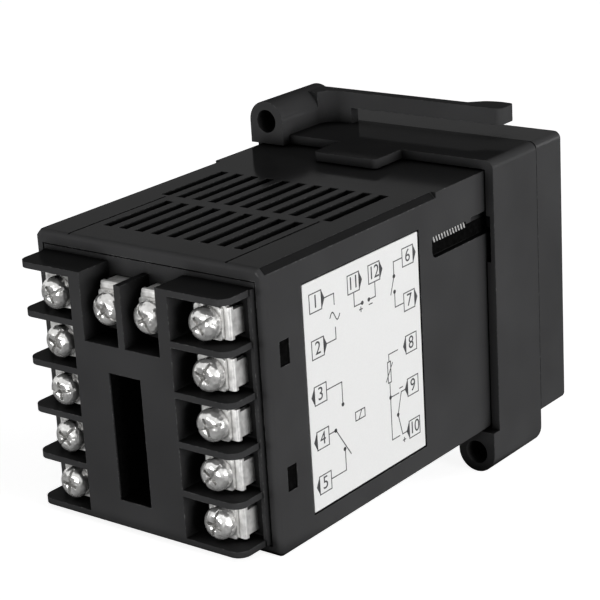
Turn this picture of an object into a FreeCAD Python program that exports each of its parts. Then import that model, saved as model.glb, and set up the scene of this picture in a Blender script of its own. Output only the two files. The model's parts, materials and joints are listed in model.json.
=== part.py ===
"""Panel-mounted PID temperature controller, 1/16 DIN (48 x 48 mm front), in millimetres.

The origin is the centre of the panel plane, on the axis of the case. The display faces -Y,
the screw terminals face +Y and +Z is up. Half the mounting frame's features are the other
half turned 180 degrees about Y.
"""
import FreeCAD, Part
import math
import os

os.makedirs("parts", exist_ok=True)

Vector = FreeCAD.Vector
ALONG_X = Vector(1, 0, 0)
ALONG_Y = Vector(0, 1, 0)
ALONG_Z = Vector(0, 0, 1)

# Bezel and case tube
bezel_size = 48.0
across = bezel_size / 48.0   # what spans the front and the case keeps its share of the bezel
bezel_depth = 7.8
bezel_corner = 1.2
bezel_wall = 1.6
case_size = 44.4 * across
case_length = 70.5
side_wall = 1.5
top_wall = 2.0
ledge_depth = 4.5            # from the panel plane forward to the front panel's seat
top_chamfer = 1.0
square_edge = 43.3           # the top edges are square from here forward, off the rear rim
long_edge_radius = 0.5
rim_radius = 0.8
score_width = 0.4
score_depth = 0.15
score_offset = 15.3 * across
score_length = 22.5

# Vents in the top wall
vent_width = 1.7
vent_pitch = 3.2 * across
vent_web = 2.4               # solid strip between the two rows
rear_vent_count = 9
rear_vent_length = 14.7
front_vent_count = 11
front_vent_length = 15.1
vent_rear_margin = 6.1       # from the rear rim to the rear row

# Latch windows in the side walls
window_length = 2.2
window_height = 3.9
window_levels = (8.7 * across, -10.7 * across)
window_rear_margin = 2.7
latch_gap = 0.2
latch_shy = 0.3              # the hook stays this far inside the outer face
hook_root = 0.5              # how far the hook reaches into its block

# Ratchet slots in the side walls
slot_bottom = 11.7 * across
slot_height = 3.1
slot_rear_margin = 41.8      # from the rear rim to the slot
slot_front = 8.0
slot_depth = 1.1
slot_corner = 1.2
entry_length = 9.5           # taller stretch at the front of the slot
entry_rise = 0.7
slot_backing = 1.2           # wall left behind the slot
slot_backing_margin = 1.5
rack_tooth_count = 12
rack_tooth_pitch = 0.78
rack_tooth_radius = 0.3
rack_tooth_height = 1.0
rack_tooth_lean = 20.0       # degrees
rack_rear_margin = 0.35
rack_sink = 0.08             # tooth noses stay this far inside the outer face
rack_lap = 0.55              # how far the teeth reach below the slot's upper edge

# Label on the side wall
label_length = 29.3
label_height = 35.7 * across
label_rear_margin = 8.7
label_middle = -0.55 * across
label_thickness = 0.15
label_corner = 0.2
pocket_depth = 0.25
pocket_gap = 0.3

# Mounting frame, flush with the bezel outside
frame_gap = 0.25             # sliding clearance on the case
frame_corner = 1.5
frame_seat = 0.1             # gap to the bezel at rest
frame_depth = 15.1
frame_setback = 1.8          # the ring stops this much short of the bosses
tongue_half_width = 6.3
tongue_reach = 7.4           # beyond the ring's rear edge
tongue_corner = 0.8
boss_radius = 3.5
boss_hole = 4.0
boss_rise = 2.4              # boss axis above the frame's face
arm_thickness = 2.0
arm_height = 2.8
arm_gap = 2.8                # between the frame's face and the arm
arm_front = 0.4              # from the frame's front edge
arm_end_margin = 5.1         # from the arm's free end to the frame's far side
knob_length = 5.5
knob_bulge = 2.3
knob_radius = 1.0
root_length = 5.3            # wall that carries the arm beside the boss
root_hollow = 2.5            # concave corner between the boss and the arm
pawl_below_slot = 4.8
pawl_height = 7.8
pawl_slit = 0.35
pawl_skin = 0.8              # the frame's outer skin behind the pawl
pawl_recess = 1.6            # from the ring's rear edge to the pawl's end
pawl_length = 10.5
pawl_ridge_length = 2.5
pawl_ridge_height = 1.6
pawl_ridge_reach = 0.9       # into the slot
pawl_ridge_inset = 0.3
pawl_tooth_count = 3
pawl_tooth_rise = 0.25

# Front panel, lens and keys
panel_thickness = 2.0
panel_inset = 0.5            # from the bezel's front edge
panel_gap = 0.2
skirt_wall = 2.0
window_half_width = 17.6 * across
window_bottom = -7.0 * across
window_top = 18.6 * across
lens_thickness = 1.2
lens_gap = 0.1
lens_ledge = 0.8
shroud_wall = 1.0
post_radius = 1.2
post_offset = 17.5 * across
post_level = -18.6 * across
key_count = 4
key_pitch = 9.0 * across
key_width = 7.4 * across
key_height = 4.6
key_corner = 1.0
key_level = -13.8 * across
key_gap = 0.2
key_proud = 0.8
key_flange = 0.6             # overhang round the key's back
key_flange_thickness = 0.8
key_stem_radius = 1.2
key_travel = 0.3
rest_gap = 0.05

# Tactile switches
switch_size = 6.0
switch_height = 3.5
plunger_radius = 1.6
plunger_proud = 1.0
plunger_length = 1.4
plunger_gap = 0.15
plunger_over_travel = 0.2

# Boards and what they carry
board_thickness = 1.6
board_gap = 0.4              # display board to the bore
display_board_front = 1.0
side_board_gap = 0.2         # to the terminal block's walls above and below
side_board_setback = 1.6     # from the terminal block's plate
pv_width = 30.0 * across
pv_height = 12.6 * across
pv_middle = 11.2 * across
sv_width = 25.0 * across
sv_height = 9.0 * across
sv_middle = -1.3 * across
sv_offset = 3.8 * across
display_depth = 6.0
led_count = 4
led_width = 3.0
led_height = 1.6
led_depth = 5.2
led_offset = -13.0 * across
led_pitch = 2.4 * across
led_top = 2.5 * across
core_length = 16.0
core_height = 13.0
core_thickness = 5.0
core_leg = 4.0
core_yoke = 2.5
core_lift = 3.6              # core above the board
core_place = 29.0            # its middle, forward of the side boards' rear ends
coil_length = 10.4
coil_depth = 12.0 * across
coil_corner = 1.5
relay_length = 18.5
relay_height = 15.0
relay_depth = 14.5 * across
relay_place = 17.0
relay_corner = 0.8
capacitors = ((5.0, 16.0, 10.5, -8.0), (4.0, 11.5, 47.0, 9.0), (4.0, 11.5, 47.0, -8.0))
capacitor_crimp = 0.4
chip_size = 10.0
chip_thickness = 1.4
chip_place = 41.0
small_chip_length = 5.0
small_chip_width = 4.0
small_chip_place = 52.0
small_chip_level = 9.0

# Terminal block
block_gap = 0.2              # to the case's bore
block_depth = 8.0
block_wall = 1.5
block_plate = 1.8
block_inset = 0.1            # the plate's rear face inside the rim
fin_reach = 6.3              # the face plane behind the case's rim
fin_count = 6
fin_pitch = 7.72 * across
fin_thickness = 1.0
fin_top = 18.7 * across
fin_outer = 20.1 * across
fin_corner = 2.0
lip_width = 0.6
lip_height = 0.9
centre_half_width = 9.6 * across
recess_half_width = 3.1 * across
recess_top = 4.3 * across
recess_bottom = -16.1 * across
recess_depth = 7.2
cavity_floor = 8.6 * across
cavity_outer = 7.4 * across
cavity_divider = 1.2
divider_top = 18.3 * across
pad_height = 2.1
pad_half_width = 2.3 * across
pad_inner = 4.0 * across
pad_outer = 2.6 * across
shank_gap = 0.2

# Terminals
column_offset = 14.5 * across
column_drop = 0.5 * across   # screw axes below the middle of their pockets
top_pair_offset = 4.0 * across
top_pair_level = 13.5 * across
plate_thickness = 0.8
plate_half_width = 2.45 * across
plate_inner = 2.6 * across
plate_outer = 3.6 * across
tab_half_width = 1.95 * across
tab_length = 9.3
tab_gap = 0.15
ear_width = 0.7
ear_drop = 0.15 * across
clamp_half_width = 2.5 * across
clamp_thickness = 0.6
clamp_corner = 0.5
clamp_lip = 0.35
clamp_hollow = 0.2
screw_radius = 1.5 * across
screw_length = 5.7
head_radius = 2.5 * across
head_height = 2.1
head_side = 1.0
dome_middle_out = 0.82       # the dome's middle point, as shares of its radius and height
dome_middle_up = 0.77
crown_share = 0.25           # flat middle of the dome
cross_length = 2.8 * across
cross_width = 0.55
cross_depth = 1.2
driver_slot_width = 0.45
driver_slot_depth = 0.8
bore_gap = 0.1
screw_turns = (35, 62, 20, 50, 75, 28, 64, 12, 48, 80, 30, 55)

# Places worked out from the sizes above
half_case = case_size / 2
half_bezel = bezel_size / 2
bore_half = half_case - side_wall
bore_top = half_case - top_wall
bore_bottom = -bore_half
block_rear = case_length - block_inset
block_front = block_rear - block_depth
face_plane = case_length + fin_reach
pad_rear = block_rear + pad_height
plate_rear = pad_rear + plate_thickness
clamp_rear = plate_rear + clamp_thickness
frame_inner = half_case + frame_gap
frame_outer = half_bezel
frame_wall = frame_outer - frame_inner
boss_rear = frame_seat + frame_depth
frame_rear = boss_rear - frame_setback
panel_face = -bezel_depth + panel_inset
panel_back = panel_face + panel_thickness
board_back = display_board_front + board_thickness
side_board_outer = column_offset + plate_outer - plate_thickness
board_inner = side_board_outer - board_thickness
board_rear = block_rear - block_plate - side_board_setback
slot_rear = case_length - slot_rear_margin
chamfer_start = case_length - square_edge
pawl_bottom = slot_bottom - pawl_below_slot
pawl_top = pawl_bottom + pawl_height


def around(middle, width):
    """The range of a width about its middle."""
    return (middle - width / 2, middle + width / 2)


def block(x, y, z):
    """A box from its ranges along X, Y and Z."""
    corner = Vector(min(x), min(y), min(z))
    return Part.makeBox(abs(x[1] - x[0]), abs(y[1] - y[0]), abs(z[1] - z[0]), corner)


def rod(centre, radius, length, direction):
    """A cylinder that starts at centre."""
    return Part.makeCylinder(radius, length, Vector(*centre), direction)


def rounded(x, y, z, radius, axis):
    """A box whose four edges along axis are rounded."""
    solid = block(x, y, z)
    edges = []
    for edge in solid.Edges:
        step = edge.Vertexes[1].Point - edge.Vertexes[0].Point
        if step.cross(axis).Length < 1e-6:
            edges.append(edge)
    return solid.makeFillet(radius, edges)


def prism(points, sweep):
    """A flat outline of straight sides, swept along a vector."""
    outline = [Vector(*point) for point in points]
    wire = Part.makePolygon(outline + [outline[0]])
    return Part.Face(wire).extrude(sweep)


def turned(profile):
    """A solid of revolution about Y from its wire."""
    return Part.Face(profile).revolve(Vector(0, 0, 0), ALONG_Y, 360)


def half_turn(shape):
    """The shape turned 180 degrees about the case's axis."""
    other = shape.copy()
    other.rotate(Vector(0, 0, 0), ALONG_Y, 180)
    return other


def mirrored(shape):
    """The shape on the other side, across X = 0."""
    return shape.mirror(Vector(0, 0, 0), ALONG_X)


def with_half_turn(shapes):
    """Each shape and its twin on the opposite side."""
    return shapes + [half_turn(shape) for shape in shapes]


def joined(shapes):
    """One solid from overlapping or touching shapes."""
    return shapes[0].multiFuse(shapes[1:]).removeSplitter()


def save(name, shapes):
    """Write one node, a single solid or a group of separate ones."""
    solids = []
    for shape in shapes:
        solids += shape.Solids
    shape = solids[0] if len(solids) == 1 else Part.makeCompound(solids)
    if not shape.isValid():
        raise ValueError("invalid shape: " + name)
    shape.exportStep("parts/" + name + ".step")


# Case

def case_outside():
    """The tube's outer form: square, its rear top edges chamfered and its rim rounded."""
    span = (-half_case, half_case)
    tube = block(span, (0, case_length), span)
    lower = []
    for edge in tube.Edges:
        ends = [vertex.Point for vertex in edge.Vertexes]
        along_y = abs(ends[0].y - ends[1].y) > case_length / 2
        if along_y and ends[0].z < 0:
            lower.append(edge)
    tube = tube.makeFillet(long_edge_radius, lower)
    corner = [
        (half_case - top_chamfer, chamfer_start, half_case),
        (half_case, chamfer_start, half_case),
        (half_case, chamfer_start, half_case - top_chamfer),
    ]
    wedge = prism(corner, ALONG_Y * (case_length - chamfer_start))
    tube = tube.cut(wedge).cut(mirrored(wedge))
    rim = [edge for edge in tube.Edges
           if all(abs(vertex.Point.y - case_length) < 1e-6 for vertex in edge.Vertexes)]
    return tube.makeFillet(rim_radius, rim)


def vent_row(count, start, length):
    """A centred row of slots through the top wall."""
    slots = []
    for index in range(count):
        middle = (index - (count - 1) / 2) * vent_pitch
        slots.append(block(around(middle, vent_width), (start, start + length),
                           (bore_top - 1, half_case + 1)))
    return slots


def ratchet_slot():
    """The recess for the frame's pawl, in the -X wall."""
    x = (-half_case - 1, -half_case + slot_depth)
    recess = block(x, (slot_front, slot_rear), (slot_bottom, slot_bottom + slot_height))
    corner = [edge for edge in recess.Edges
              if all(abs(v.Point.y - slot_rear) < 1e-6 and abs(v.Point.z - slot_bottom) < 1e-6
                     for v in edge.Vertexes)]
    recess = recess.makeFillet(slot_corner, corner)
    entry = block(x, (slot_front, slot_front + entry_length),
                  (slot_bottom, slot_bottom + slot_height + entry_rise))
    rack_rear = slot_rear - rack_rear_margin
    rack_front = rack_rear - rack_tooth_count * rack_tooth_pitch
    top = slot_bottom + slot_height
    rack_floor = -half_case + rack_sink + rack_tooth_radius
    rack = block((-half_case - 1, rack_floor), (rack_front, rack_rear),
                 (top - rack_lap, top - rack_lap + rack_tooth_height))
    return [recess, entry, rack]


def rack_teeth():
    """Round-nosed leaning ribs along the slot's upper edge."""
    top = slot_bottom + slot_height
    level = top - rack_lap + rack_tooth_height / 2
    floor = -half_case + rack_sink + rack_tooth_radius
    band = block((floor - 2 * rack_tooth_radius, floor + rack_tooth_radius / 2),
                 (slot_front, slot_rear), (top - rack_lap, top - rack_lap + rack_tooth_height))
    backing = block((floor, floor + 2 * rack_tooth_radius),
                    (slot_rear - rack_rear_margin - rack_tooth_count * rack_tooth_pitch, slot_rear),
                    (top - rack_lap, top))
    teeth = [backing]
    for index in range(rack_tooth_count):
        y = slot_rear - rack_rear_margin - (index + 0.5) * rack_tooth_pitch
        length = 2 * rack_tooth_height
        tooth = rod((floor, y, level - rack_tooth_height), rack_tooth_radius, length, ALONG_Z)
        tooth.rotate(Vector(floor, y, level), ALONG_X, -rack_tooth_lean)
        teeth.append(tooth.common(band))
    return teeth


def slot_wall():
    """The thicker wall inside the case behind the slot."""
    return block((-bore_half, -half_case + slot_depth + slot_backing),
                 (slot_front - slot_backing_margin, slot_rear + slot_backing_margin),
                 (slot_bottom - slot_backing_margin, slot_bottom + slot_height + slot_backing_margin))


def label_box(thickness, gap):
    """The label's outline on the -X wall, sunk into its pocket."""
    rear = case_length - label_rear_margin + gap
    front = case_length - label_rear_margin - label_length - gap
    seat = -half_case + pocket_depth
    return rounded((seat - thickness, seat), (front, rear),
                   around(label_middle, label_height + 2 * gap), label_corner, ALONG_X)


def make_case():
    """Bezel and tube in one moulding."""
    bezel_span = (-half_bezel, half_bezel)
    bezel = rounded(bezel_span, (-bezel_depth, 0), bezel_span, bezel_corner, ALONG_Y)
    body = joined([bezel, case_outside()])
    bore = block((-bore_half, bore_half), (-bezel_depth - 1, case_length + 1), (bore_bottom, bore_top))
    seat = half_bezel - bezel_wall
    front_recess = block((-seat, seat), (-bezel_depth - 1, -ledge_depth), (-seat, seat))
    cuts = [bore, front_recess]
    rear_row = case_length - vent_rear_margin - rear_vent_length
    front_row = rear_row - vent_web - front_vent_length
    cuts += vent_row(rear_vent_count, rear_row, rear_vent_length)
    cuts += vent_row(front_vent_count, front_row, front_vent_length)
    window_y = (case_length - window_rear_margin - window_length, case_length - window_rear_margin)
    for level in window_levels:
        cuts.append(block((-half_case - 1, half_case + 1), window_y, around(level, window_height)))
    score_y = (case_length - score_length, case_length + 1)
    score_z = (half_case - score_depth, half_case + 1)
    for side in (-1, 1):
        cuts.append(block(around(side * score_offset, score_width), score_y, score_z))
    cuts.append(label_box(pocket_depth + 1, pocket_gap))
    body = body.cut(Part.makeCompound(cuts))
    body = joined([body] + with_half_turn([slot_wall()]))
    body = body.cut(Part.makeCompound(with_half_turn(ratchet_slot())))
    return joined([body] + with_half_turn(rack_teeth()))


# Mounting frame

def spring_arm():
    """The free arm from the top boss across the top, with its rounded pressing end."""
    boss_x = frame_outer - boss_radius
    front = frame_seat + arm_front
    rear = front + arm_thickness
    end = arm_end_margin - frame_outer
    z = frame_outer + arm_gap
    knob_front = front - knob_bulge
    knob_start = end + knob_length
    points = [
        Vector(boss_x, front, z),
        Vector(knob_start + knob_bulge, front, z),
        Vector(knob_start, knob_front + knob_radius / 2, z),
        Vector(end + knob_radius, knob_front, z),
        Vector(end, knob_front + knob_radius, z),
        Vector(end, rear - knob_radius, z),
        Vector(end + knob_radius, rear, z),
        Vector(boss_x, rear, z),
    ]
    diagonal = knob_radius * (1 - math.sqrt(0.5))
    front_arc = Part.Arc(points[3], Vector(end + diagonal, knob_front + diagonal, z), points[4])
    rear_arc = Part.Arc(points[5], Vector(end + diagonal, rear - diagonal, z), points[6])
    middle = (points[2] + points[3]) / 2 + Vector(0, -knob_radius / 3, 0)
    nose = Part.Arc(points[2], middle, points[3])
    edges = [
        Part.LineSegment(points[0], points[1]).toShape(),
        Part.LineSegment(points[1], points[2]).toShape(),
        nose.toShape(),
        front_arc.toShape(),
        Part.LineSegment(points[4], points[5]).toShape(),
        rear_arc.toShape(),
        Part.LineSegment(points[6], points[7]).toShape(),
        Part.LineSegment(points[7], points[0]).toShape(),
    ]
    return Part.Face(Part.Wire(edges)).extrude(ALONG_Z * arm_height)


def boss_and_root():
    """The screw boss at the top corner, its foot and the block that carries the arm."""
    boss_x = frame_outer - boss_radius
    boss_z = frame_outer + boss_rise
    boss = rod((boss_x, frame_seat, boss_z), boss_radius, frame_depth, ALONG_Y)
    foot = block((boss_x - boss_radius, frame_outer), (frame_seat, boss_rear), (frame_inner, boss_z))
    front = frame_seat + arm_front
    rear = front + arm_thickness
    z = (frame_outer - frame_wall / 2, frame_outer + arm_gap + arm_height)
    side = boss_x - boss_radius
    root = block((side - root_length, boss_x), (front, rear), z)
    corner = block((side - root_hollow, boss_x), (rear, rear + root_hollow), z)
    hollow = rod((side - root_hollow, rear + root_hollow, z[0] - 1), root_hollow, z[1] - z[0] + 2, ALONG_Z)
    return [boss, foot, root, corner.cut(hollow)]


def tongue():
    """The flat tongue that reaches back from the top wall."""
    rear = frame_rear + tongue_reach
    return rounded((-tongue_half_width, tongue_half_width), (frame_rear - frame_setback, rear),
                   (frame_inner, frame_outer), tongue_corner, ALONG_Z)


def pawl_slits():
    """The two slits and the end gap that free the pawl from the -X wall's skin."""
    x = (-frame_outer + pawl_skin, -frame_inner + 1)
    y = (frame_rear - pawl_length, frame_rear + 1)
    return [
        block(x, y, (pawl_bottom, pawl_bottom + pawl_slit)),
        block(x, y, (pawl_top - pawl_slit, pawl_top)),
        block(x, (frame_rear - pawl_recess, frame_rear + 1), (pawl_bottom, pawl_top)),
    ]


def pawl_ridge():
    """The ridge inside the pawl that runs in the slot, its teeth just clear of the rack."""
    rear = frame_rear - pawl_recess - pawl_ridge_inset
    y = (rear - pawl_ridge_length, rear)
    bottom = slot_bottom + 2 * frame_gap
    top = bottom + pawl_ridge_height
    inner = -half_case + pawl_ridge_reach
    ridge = block((-frame_inner - frame_wall / 2, inner), y, (bottom, top))
    shapes = [ridge]
    pitch = pawl_ridge_length / pawl_tooth_count
    for index in range(pawl_tooth_count):
        start = y[0] + index * pitch
        tooth = [
            (-frame_inner, start, top),
            (-frame_inner, start + pitch, top),
            (-frame_inner, start + pitch / 2, top + pawl_tooth_rise),
        ]
        shapes.append(prism(tooth, Vector(inner + frame_inner, 0, 0)))
    return shapes


def make_mounting_frame():
    """The square frame that slides on the case and clamps it to the panel."""
    outer = (-frame_outer, frame_outer)
    inner = (-frame_inner, frame_inner)
    ring = rounded(outer, (frame_seat, frame_rear), outer, frame_corner, ALONG_Y)
    additions = boss_and_root() + [spring_arm(), tongue()]
    ring = joined([ring] + with_half_turn(additions))
    bore = block(inner, (frame_seat - 1, frame_rear + tongue_reach), inner)
    boss_x = frame_outer - boss_radius
    hole = rod((boss_x, -bezel_depth, frame_outer + boss_rise), boss_hole / 2,
               boss_rear + 2 * bezel_depth, ALONG_Y)
    ring = ring.cut(Part.makeCompound([bore] + with_half_turn([hole] + pawl_slits())))
    return joined([ring] + with_half_turn(pawl_ridge()))


# Front panel and keys

def key_places():
    """The keys' middles along X, from left to right."""
    return [(index - (key_count - 1) / 2) * key_pitch for index in range(key_count)]


def make_front_panel():
    """The cover in the bezel, with its window, shroud, key holes and posts."""
    edge = half_bezel - bezel_wall - panel_gap
    span = (-edge, edge)
    plate = block(span, (panel_face, panel_back), span)
    skirt = block(span, (panel_back, -ledge_depth), span)
    inside = (-edge + skirt_wall, edge - skirt_wall)
    skirt = skirt.cut(block(inside, (panel_back - 1, -ledge_depth + 1), inside))
    window_x = (-window_half_width, window_half_width)
    window_z = (window_bottom, window_top)
    clear_x = (window_x[0] + lens_ledge, window_x[1] - lens_ledge)
    clear_z = (window_z[0] + lens_ledge, window_z[1] - lens_ledge)
    shroud_x = (clear_x[0] - shroud_wall, clear_x[1] + shroud_wall)
    shroud_z = (clear_z[0] - shroud_wall, clear_z[1] + shroud_wall)
    shroud = block(shroud_x, (panel_back, display_board_front), shroud_z)
    posts = [rod((side * post_offset, panel_back, post_level), post_radius,
                 display_board_front - panel_back, ALONG_Y) for side in (-1, 1)]
    body = joined([plate, skirt, shroud] + posts)
    cuts = [
        block(window_x, (panel_face - 1, panel_face + lens_thickness), window_z),
        block(clear_x, (panel_face - 1, display_board_front + 1), clear_z),
    ]
    for x in key_places():
        cuts.append(rounded(around(x, key_width + 2 * key_gap), (panel_face - 1, panel_back + 1),
                            around(key_level, key_height + 2 * key_gap), key_corner + key_gap, ALONG_Y))
    return body.cut(Part.makeCompound(cuts))


def make_lens():
    """The smoked window, seated on the ledge in the panel."""
    return block((-window_half_width + lens_gap, window_half_width - lens_gap),
                 (panel_face, panel_face + lens_thickness),
                 (window_bottom + lens_gap, window_top - lens_gap))


def make_key(x):
    """A key cap with the flange that keeps it in the panel and the stem behind it."""
    flange_front = panel_back + rest_gap
    flange_back = flange_front + key_flange_thickness
    cap = rounded(around(x, key_width), (panel_face - key_proud, flange_front),
                  around(key_level, key_height), key_corner, ALONG_Y)
    flange = block(around(x, key_width + 2 * key_flange), (flange_front, flange_back),
                   around(key_level, key_height + 2 * key_flange))
    switch_top = display_board_front - switch_height
    stem = rod((x, flange_back, key_level), key_stem_radius,
               switch_top - plunger_proud - flange_back, ALONG_Y)
    return joined([cap, flange, stem])


def make_plunger(x):
    """The moving button of one tactile switch."""
    start = display_board_front - switch_height - plunger_proud
    return rod((x, start, key_level), plunger_radius, plunger_length, ALONG_Y)


def make_switch(x):
    """A tactile switch body with the well that its plunger sinks into."""
    body = block(around(x, switch_size), (display_board_front - switch_height, display_board_front),
                 around(key_level, switch_size))
    well = plunger_length - plunger_proud + key_travel + plunger_over_travel
    start = display_board_front - switch_height
    return body.cut(rod((x, start - 1, key_level), plunger_radius + plunger_gap, well + 1, ALONG_Y))


# Boards

def make_display_board():
    """The board across the front."""
    return block((-bore_half + board_gap, bore_half - board_gap), (display_board_front, board_back),
                 (bore_bottom + board_gap, bore_top - board_gap))


def make_side_board(side):
    """A board that runs from the display board back into the terminal block."""
    margin = block_gap + block_wall + side_board_gap
    return block((side * board_inner, side * side_board_outer), (board_back, board_rear),
                 (bore_bottom + margin, bore_top - margin))


def display_module(x, z, width, height):
    """A numeric display on the front board."""
    return block(around(x, width), (display_board_front - display_depth, display_board_front),
                 around(z, height))


def make_leds():
    """A column of small indicators beside the lower display."""
    leds = []
    for index in range(led_count):
        z = led_top - index * led_pitch
        leds.append(block(around(led_offset, led_width),
                          (display_board_front - led_depth, display_board_front), around(z, led_height)))
    return leds


def make_core():
    """A ferrite E core pair, its middle leg through the coil."""
    x = (board_inner - core_lift - core_thickness, board_inner - core_lift)
    y = board_rear - core_place
    outside = block(x, around(y, core_length), around(0, core_height))
    window = (core_length - 2 * core_yoke - core_leg) / 2
    tall = core_height - 2 * core_yoke
    for side in (-1, 1):
        middle = y + side * (core_leg + window) / 2
        outside = outside.cut(block((x[0] - 1, x[1] + 1), around(middle, window), around(0, tall)))
    return outside


def make_coil():
    """The taped winding on its bobbin, round the core's middle leg."""
    tall = core_height - 2 * core_yoke
    y = board_rear - core_place
    winding = rounded((board_inner - coil_depth, board_inner), around(y, coil_length),
                      around(0, tall), coil_corner, ALONG_Z)
    leg_x = (board_inner - core_lift - core_thickness, board_inner - core_lift)
    return winding.cut(block(leg_x, around(y, core_leg), around(0, core_height)))


def make_relay():
    """The sealed output relay on the other side board."""
    x = (-board_inner, -board_inner + relay_depth)
    y = around(board_rear - relay_place, relay_length)
    return rounded(x, y, around(0, relay_height), relay_corner, ALONG_X)


def make_capacitors():
    """Electrolytic cans lying off the power board, each with its crimp groove."""
    cans = []
    for radius, reach, place, level in capacitors:
        length = reach * across
        start = board_inner - length
        y = board_rear - place
        z = level * across
        can = rod((start, y, z), radius, length, ALONG_X)
        groove = Part.makeTorus(radius, capacitor_crimp, Vector(board_inner - radius / 2, y, z), ALONG_X)
        cans.append(can.cut(groove))
    return cans


def make_chips():
    """The controller chip and a small one, flat on the control board."""
    x = (-board_inner, -board_inner + chip_thickness)
    return [
        block(x, around(board_rear - chip_place, chip_size), around(0, chip_size)),
        block(x, around(board_rear - small_chip_place, small_chip_length),
              around(small_chip_level, small_chip_width)),
    ]


# Terminals

def terminal_places():
    """Each screw's X, Z and turn about Y: ten in the side columns, then the top pair."""
    places = []
    for side in (-1, 1):
        for row in range(fin_count - 1):
            z = fin_top - (row + 0.5) * fin_pitch - column_drop
            places.append((side * column_offset, z, 180 if side < 0 else 0))
    for side in (-1, 1):
        places.append((side * top_pair_offset, top_pair_level, -90))
    return places


def at_terminal(shape, place):
    """A shape drawn at the origin with its outer end along +X, moved to one terminal."""
    x, z, turn = place
    moved = shape.copy()
    moved.rotate(Vector(0, 0, 0), ALONG_Y, turn)
    moved.translate(Vector(x, 0, z))
    return moved


def plate_at_origin():
    """The bent contact plate: a face under the screw and a tab that runs forward."""
    face = block((-plate_inner, plate_outer), (pad_rear, plate_rear),
                 (-plate_half_width, plate_half_width))
    tab = block((plate_outer - plate_thickness, plate_outer), (plate_rear - tab_length, plate_rear),
                (-tab_half_width, tab_half_width))
    ear = block((plate_outer - 2 * ear_width, plate_outer - ear_width), (pad_rear, plate_rear),
                (-plate_half_width - ear_drop, -plate_half_width))
    plate = joined([face, tab, ear])
    bend = [edge for edge in plate.Edges
            if all(abs(v.Point.x - plate_outer) < 1e-6 and abs(v.Point.y - plate_rear) < 1e-6
                   for v in edge.Vertexes)]
    plate = plate.makeFillet(plate_thickness / 2, bend)
    return plate.cut(rod((0, pad_rear - 1, 0), screw_radius + bore_gap, plate_thickness + 2, ALONG_Y))


def clamp_at_origin():
    """The square clamp washer, its edges turned down over the wire."""
    span = (-clamp_half_width, clamp_half_width)
    square = rounded(span, (plate_rear, clamp_rear), span, clamp_corner, ALONG_Y)
    inside = clamp_half_width - clamp_lip
    hollow = block((-inside, inside), (plate_rear - 1, plate_rear + clamp_hollow),
                   (-clamp_half_width - 1, clamp_half_width + 1))
    square = square.cut(hollow)
    return square.cut(rod((0, plate_rear - 1, 0), screw_radius + bore_gap, clamp_thickness + 2, ALONG_Y))


def screw_at_origin(turn):
    """A pan-head screw with a cross recess and a driver slot."""
    tip = clamp_rear - screw_length
    side_end = clamp_rear + head_side
    top = clamp_rear + head_height
    dome_middle = Vector(head_radius * dome_middle_out, side_end + (top - side_end) * dome_middle_up, 0)
    points = [
        Vector(0, tip, 0),
        Vector(screw_radius, tip, 0),
        Vector(screw_radius, clamp_rear, 0),
        Vector(head_radius, clamp_rear, 0),
        Vector(head_radius, side_end, 0),
    ]
    crown = Vector(head_radius * crown_share, top, 0)
    edges = [Part.LineSegment(points[index], points[index + 1]).toShape() for index in range(4)]
    edges.append(Part.Arc(points[4], dome_middle, crown).toShape())
    edges.append(Part.LineSegment(crown, Vector(0, top, 0)).toShape())
    edges.append(Part.LineSegment(Vector(0, top, 0), points[0]).toShape())
    screw = turned(Part.Wire(edges))
    arm = block(around(0, cross_length), (top - cross_depth, top + 1), around(0, cross_width))
    other_arm = block(around(0, cross_width), (top - cross_depth, top + 1), around(0, cross_length))
    driver = block(around(0, 2 * head_radius + 1), (top - driver_slot_depth, top + 1),
                   around(0, driver_slot_width))
    screw = screw.cut(joined([arm, other_arm, driver]))
    screw.rotate(Vector(0, 0, 0), ALONG_Y, turn)
    return screw


def fins():
    """The barriers between the side terminals, rounded at their outer rear corners."""
    shapes = []
    for row in range(fin_count):
        z = fin_top - row * fin_pitch
        fin = block((centre_half_width - 1, fin_outer), (block_rear, face_plane), around(z, fin_thickness))
        corner = [edge for edge in fin.Edges
                  if all(abs(v.Point.x - fin_outer) < 1e-6 and abs(v.Point.y - face_plane) < 1e-6
                         for v in edge.Vertexes)]
        fin = fin.makeFillet(fin_corner, corner)
        shapes += [fin, mirrored(fin)]
    return shapes


def latch_hooks():
    """The ramped hooks that snap into the case's side windows."""
    rear = case_length - window_rear_margin - latch_gap
    front = case_length - window_rear_margin - window_length + latch_gap
    inner = bore_half - block_gap - hook_root
    outer = half_case - latch_shy
    shapes = []
    for level in window_levels:
        height = window_height - 2 * latch_gap
        outline = [
            (inner, front, level - height / 2),
            (outer - latch_shy, front, level - height / 2),
            (outer, rear - latch_gap, level - height / 2),
            (outer, rear, level - height / 2),
            (inner, rear, level - height / 2),
        ]
        hook = prism(outline, ALONG_Z * height)
        shapes += [hook, mirrored(hook)]
    return shapes


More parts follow.
